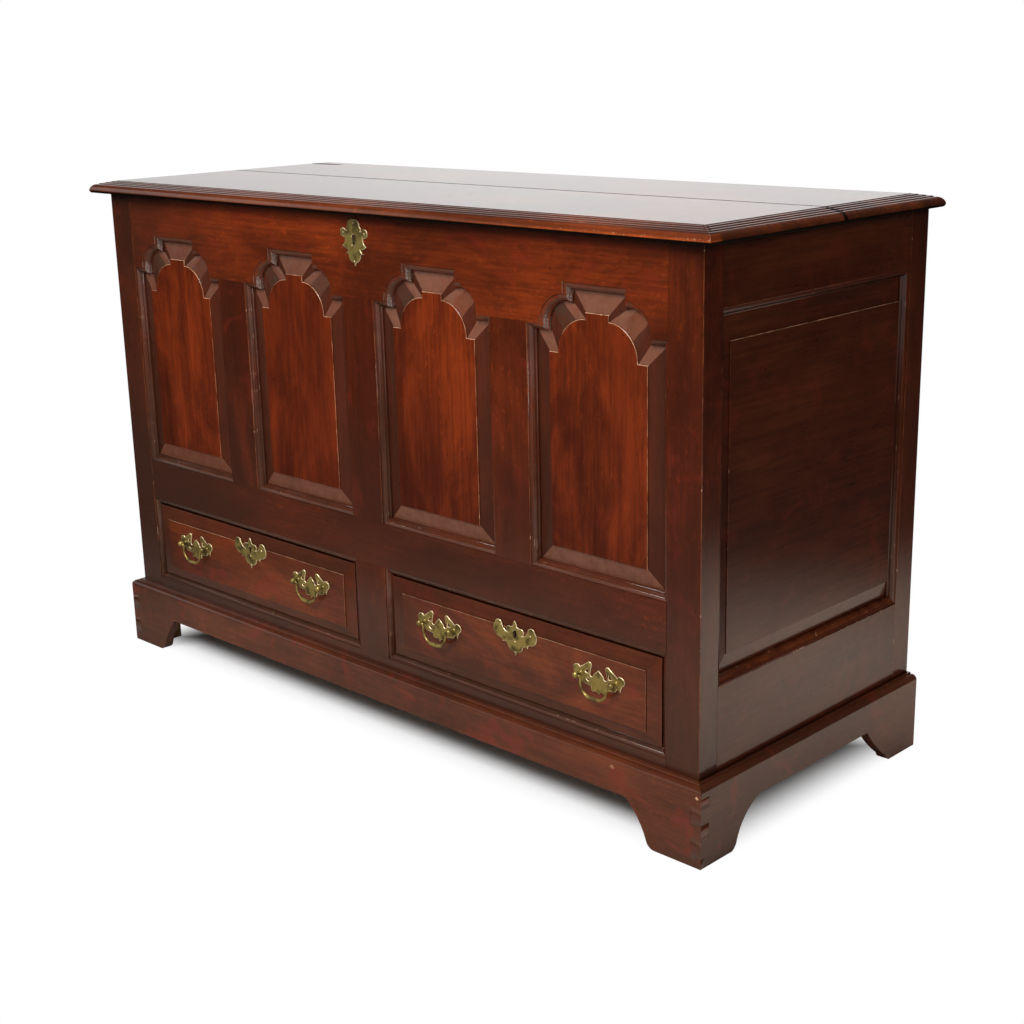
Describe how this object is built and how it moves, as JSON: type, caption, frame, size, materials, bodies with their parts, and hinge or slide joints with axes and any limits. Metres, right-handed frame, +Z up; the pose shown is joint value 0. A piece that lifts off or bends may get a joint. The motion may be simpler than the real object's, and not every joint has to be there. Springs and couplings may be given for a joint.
{
  "type": "mule chest",
  "caption": "Panelled oak mule chest with a hinged lid over an arched fielded front, drawers below with brass bail handles, and a bracket plinth.",
  "frame": {"origin": "on the floor under the middle of the bounding box", "axes": "+X along the width to the viewer's right, +Y from the front to the back, +Z up"},
  "size_m": [1.304, 0.5325, 0.814],
  "materials": {
    "oak_frame": "waxed satin",
    "oak_panel": "waxed satin",
    "oak_side": "waxed satin",
    "oak_lid": "polished",
    "oak_plinth": "waxed satin",
    "raw_oak": "unfinished",
    "iron": "forged",
    "brass": "aged"
  },
  "bodies": {
    "case": {"front_post_left": "oak_frame", "front_post_right": "oak_frame", "front_top_rail": "oak_frame", "front_mid_rail": "oak_frame", "front_bottom_rail": "oak_frame", "front_muntins": "oak_frame", "drawer_muntin": "oak_frame", "front_panel_1": "oak_panel", "front_panel_2": "oak_panel", "front_panel_3": "oak_panel", "front_panel_4": "oak_panel", "back_post_left": "oak_side", "back_post_right": "oak_side", "side_top_rail_left": "oak_side", "side_top_rail_right": "oak_side", "side_bottom_rail_left": "oak_side", "side_bottom_rail_right": "oak_side", "side_panel_left": "oak_side", "side_panel_right": "oak_side", "plinth_front": "oak_plinth", "plinth_left": "oak_plinth", "plinth_right": "oak_plinth", "back_top_rail": "raw_oak", "back_mid_rail": "raw_oak", "back_bottom_rail": "raw_oak", "back_muntin": "raw_oak", "back_panels": "raw_oak", "chest_floor_boards": "raw_oak", "drawer_runners": "raw_oak", "drawer_stops": "raw_oak", "foot_blocks": "raw_oak", "hinge_plates": "iron", "lid_lock_case": "iron", "lid_escutcheon": "brass"},
    "lid": {"lid_front_board": "oak_lid", "lid_back_board": "oak_lid", "lid_battens": "oak_lid", "hinge_straps": "iron", "lid_link_plate": "iron"},
    "lid_bolt": {"lid_lock_bolt": "iron"},
    "left_drawer": {"left_drawer_front": "oak_panel", "left_drawer_sides": "raw_oak", "left_drawer_back": "raw_oak", "left_drawer_bottom": "raw_oak", "left_drawer_lock_case": "iron", "left_drawer_escutcheon": "brass", "left_drawer_handle_fittings": "brass"},
    "left_drawer_bolt": {"left_drawer_lock_bolt": "iron"},
    "left_drawer_bail_left": {"left_drawer_bail_left": "brass"},
    "left_drawer_bail_right": {"left_drawer_bail_right": "brass"},
    "right_drawer": {"right_drawer_front": "oak_panel", "right_drawer_sides": "raw_oak", "right_drawer_back": "raw_oak", "right_drawer_bottom": "raw_oak", "right_drawer_lock_case": "iron", "right_drawer_escutcheon": "brass", "right_drawer_handle_fittings": "brass"},
    "right_drawer_bolt": {"right_drawer_lock_bolt": "iron"},
    "right_drawer_bail_left": {"right_drawer_bail_left": "brass"},
    "right_drawer_bail_right": {"right_drawer_bail_right": "brass"}
  },
  "joints": [
    {"name": "lid_hinge", "type": "hinge", "parent": "case", "child": "lid", "pos_m": [0, 0.26125, 0.795], "axis": [-1, 0, 0], "range_deg": [0, 100]},
    {"name": "lid_lock_bolt_slide", "type": "slide", "parent": "case", "child": "lid_bolt", "axis": [1, 0, 0], "range_m": [0, 0.008]},
    {"name": "left_drawer_slide", "type": "slide", "parent": "case", "child": "left_drawer", "axis": [0, -1, 0], "range_m": [0, 0.36]},
    {"name": "left_drawer_bolt_slide", "type": "slide", "parent": "left_drawer", "child": "left_drawer_bolt", "axis": [0, 0, 1], "range_m": [0, 0.008]},
    {"name": "left_drawer_bail_left_swing", "type": "hinge", "parent": "left_drawer", "child": "left_drawer_bail_left", "pos_m": [-0.45575, -0.25235, 0.209], "axis": [-1, 0, 0], "range_deg": [-10, 150]},
    {"name": "left_drawer_bail_right_swing", "type": "hinge", "parent": "left_drawer", "child": "left_drawer_bail_right", "pos_m": [-0.14775, -0.25235, 0.209], "axis": [-1, 0, 0], "range_deg": [-10, 150]},
    {"name": "right_drawer_slide", "type": "slide", "parent": "case", "child": "right_drawer", "axis": [0, -1, 0], "range_m": [0, 0.36]},
    {"name": "right_drawer_bolt_slide", "type": "slide", "parent": "right_drawer", "child": "right_drawer_bolt", "axis": [0, 0, 1], "range_m": [0, 0.008]},
    {"name": "right_drawer_bail_left_swing", "type": "hinge", "parent": "right_drawer", "child": "right_drawer_bail_left", "pos_m": [0.14775, -0.25235, 0.209], "axis": [-1, 0, 0], "range_deg": [-10, 150]},
    {"name": "right_drawer_bail_right_swing", "type": "hinge", "parent": "right_drawer", "child": "right_drawer_bail_right", "pos_m": [0.45575, -0.25235, 0.209], "axis": [-1, 0, 0], "range_deg": [-10, 150]}
  ]
}
